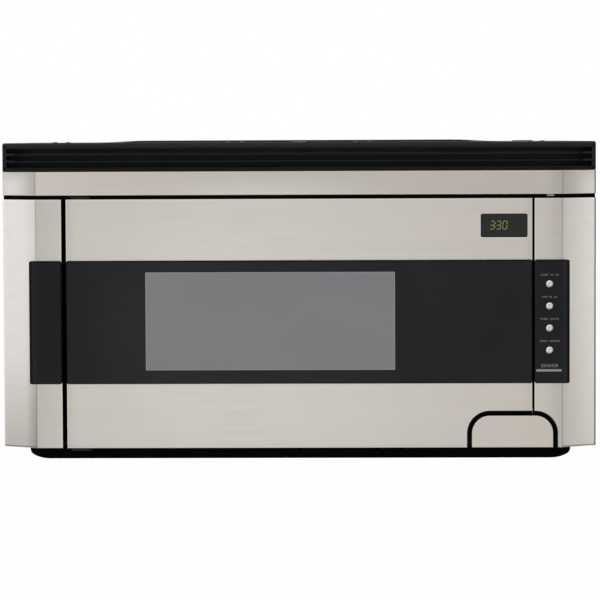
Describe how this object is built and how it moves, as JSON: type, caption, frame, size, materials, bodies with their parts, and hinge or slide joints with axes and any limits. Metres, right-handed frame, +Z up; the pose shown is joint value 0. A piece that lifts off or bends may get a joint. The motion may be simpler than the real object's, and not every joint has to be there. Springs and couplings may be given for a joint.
{
  "type": "over-the-range microwave oven",
  "caption": "Wide steel microwave oven with range hood: side-hinged door with a smoked window, arched pull handle, push buttons, louvred grille and turntable.",
  "frame": {"origin": "centre of the underside of the bounding box", "axes": "+Z up, front towards -Y, wall at +Y, +X to the viewer's right"},
  "size_m": [0.759, 0.39, 0.412],
  "materials": {
    "brushed_steel": "satin, grain along X",
    "smoked_glass": "gloss, smoked",
    "gloss_black": "gloss",
    "display_window": "gloss, smoked",
    "black_moulding": "fine matt",
    "case_paint": "satin black paint",
    "zinc_sheet": "zinc plated",
    "cavity_paint": "light enamel",
    "frame_paint": "satin black paint",
    "clear_film": "clear",
    "mica": "matt mica",
    "tray_glass": "clear",
    "white_moulding": "matt",
    "button_silver": "silvered",
    "key_grey": "satin",
    "key_film": "satin",
    "filter_mesh": "woven mesh",
    "charcoal": "granular",
    "lamp_glass": "clear",
    "magnetron_metal": "plain",
    "motor_steel": "zinc plated",
    "fan_moulding": "matt",
    "transformer_iron": "varnished",
    "board": "lacquered",
    "screw_steel": "plain"
  },
  "bodies": {
    "chassis": {"wall_mounting_plate": "zinc_sheet", "back_plate": "zinc_sheet", "outer_case": "case_paint", "cord_bush": "black_moulding", "front_plate": "zinc_sheet", "base_pan": "case_paint", "lamps": "lamp_glass", "oven_cavity": "cavity_paint", "waveguide_cover": "mica", "magnetron": "magnetron_metal", "turntable_motor": "motor_steel", "blower_housing": "zinc_sheet", "blower_motor": "motor_steel", "cooling_fan_housing": "fan_moulding", "high_voltage_supply": "transformer_iron", "circuit_boards": "board", "trim_left": "brushed_steel", "trim_right": "brushed_steel", "trim_recess": "black_moulding", "top_band": "brushed_steel", "band_left": "gloss_black", "band_right": "gloss_black", "vent_grille": "black_moulding", "charcoal_filter": "charcoal", "steel_clips": "zinc_sheet", "case_screws": "screw_steel", "door_hinges": "case_paint", "latch_body": "white_moulding", "interlock_switches": "board", "key_panel": "key_grey", "key_overlay": "key_film", "display_module": "gloss_black"},
    "door": {"door_skin": "brushed_steel", "door_glass": "smoked_glass", "display_lens": "display_window", "door_frame": "frame_paint", "window_screen": "frame_paint", "inner_window": "clear_film", "choke_cover": "black_moulding", "door_back_cover": "black_moulding", "hinge_bushes": "white_moulding", "handle_bezel": "black_moulding"},
    "handle": {"handle_paddle": "brushed_steel", "handle_lever": "black_moulding"},
    "latch": {"latch_head": "black_moulding"},
    "button_body_1": {"button_1": "button_silver"},
    "button_body_2": {"button_2": "button_silver"},
    "button_body_3": {"button_3": "button_silver"},
    "button_body_4": {"button_4": "button_silver"},
    "turntable": {"turntable_coupling": "white_moulding", "roller_support": "white_moulding", "glass_tray": "tray_glass"},
    "roller_body_1": {"roller_1": "white_moulding"},
    "roller_body_2": {"roller_2": "white_moulding"},
    "roller_body_3": {"roller_3": "white_moulding"},
    "blower": {"blower_rotor": "fan_moulding"},
    "fan": {"cooling_fan": "fan_moulding"},
    "left_filter": {"grease_filter_left": "filter_mesh"},
    "right_filter": {"grease_filter_right": "filter_mesh"},
    "lamp_door": {"lamp_cover": "clear_film"}
  },
  "joints": [
    {"name": "door_hinge", "type": "hinge", "parent": "chassis", "child": "door", "pos_m": [-0.2824, -0.1815, 0.177], "axis": [0, 0, -1], "range_deg": [0, 100]},
    {"name": "handle_pull", "type": "hinge", "parent": "door", "child": "handle", "pos_m": [0.26, -0.183, 0.057], "axis": [-1, 0, 0], "range_deg": [0, 20], "stiffness_Nm_per_rad": 0.4, "springref_deg": -11.46},
    {"name": "latch_drop", "type": "slide", "parent": "door", "child": "latch", "axis": [0, 0, -1], "range_m": [0, 0.0046]},
    {"name": "turntable_spin", "type": "hinge", "parent": "chassis", "child": "turntable", "pos_m": [-0.036, 0.016, 0.0703], "axis": [0, 0, 1], "continuous": true},
    {"name": "blower_spin", "type": "hinge", "parent": "chassis", "child": "blower", "pos_m": [0, 0.14225, 0.3515], "axis": [1, 0, 0], "continuous": true},
    {"name": "fan_spin", "type": "hinge", "parent": "chassis", "child": "fan", "pos_m": [0.277, 0.1305, 0.233], "axis": [0, 1, 0], "continuous": true},
    {"name": "left_filter_drop", "type": "slide", "parent": "chassis", "child": "left_filter", "axis": [0, 0, -1], "range_m": [0, 0.03]},
    {"name": "right_filter_drop", "type": "slide", "parent": "chassis", "child": "right_filter", "axis": [0, 0, -1], "range_m": [0, 0.03]},
    {"name": "lamp_cover_hinge", "type": "hinge", "parent": "chassis", "child": "lamp_door", "pos_m": [0, -0.063, 0.0018], "axis": [1, 0, 0], "range_deg": [0, 90]},
    {"name": "button_1_press", "type": "slide", "parent": "chassis", "child": "button_body_1", "axis": [0, 1, 0], "range_m": [0, 0.0015], "stiffness_N_per_m": 500, "springref_m": -0.0004},
    {"name": "button_2_press", "type": "slide", "parent": "chassis", "child": "button_body_2", "axis": [0, 1, 0], "range_m": [0, 0.0015], "stiffness_N_per_m": 500, "springref_m": -0.0004},
    {"name": "button_3_press", "type": "slide", "parent": "chassis", "child": "button_body_3", "axis": [0, 1, 0], "range_m": [0, 0.0015], "stiffness_N_per_m": 500, "springref_m": -0.0004},
    {"name": "button_4_press", "type": "slide", "parent": "chassis", "child": "button_body_4", "axis": [0, 1, 0], "range_m": [0, 0.0015], "stiffness_N_per_m": 500, "springref_m": -0.0004},
    {"name": "roller_1_roll", "type": "hinge", "parent": "turntable", "child": "roller_body_1", "pos_m": [0.074, 0.016, 0.0703], "axis": [1, 0, 0], "continuous": true},
    {"name": "roller_2_roll", "type": "hinge", "parent": "turntable", "child": "roller_body_2", "pos_m": [-0.091, 0.11126, 0.0703], "axis": [-0.5, 0.866, 0], "continuous": true},
    {"name": "roller_3_roll", "type": "hinge", "parent": "turntable", "child": "roller_body_3", "pos_m": [-0.091, -0.07926, 0.0703], "axis": [-0.5, -0.866, 0], "continuous": true}
  ],
  "couplings": [
    {"joint": "latch_drop", "follows": "handle_pull", "m_per_rad": 0.013},
    {"joint": "roller_1_roll", "follows": "turntable_spin", "ratio": -15.714},
    {"joint": "roller_2_roll", "follows": "turntable_spin", "ratio": -15.714},
    {"joint": "roller_3_roll", "follows": "turntable_spin", "ratio": -15.714}
  ]
}
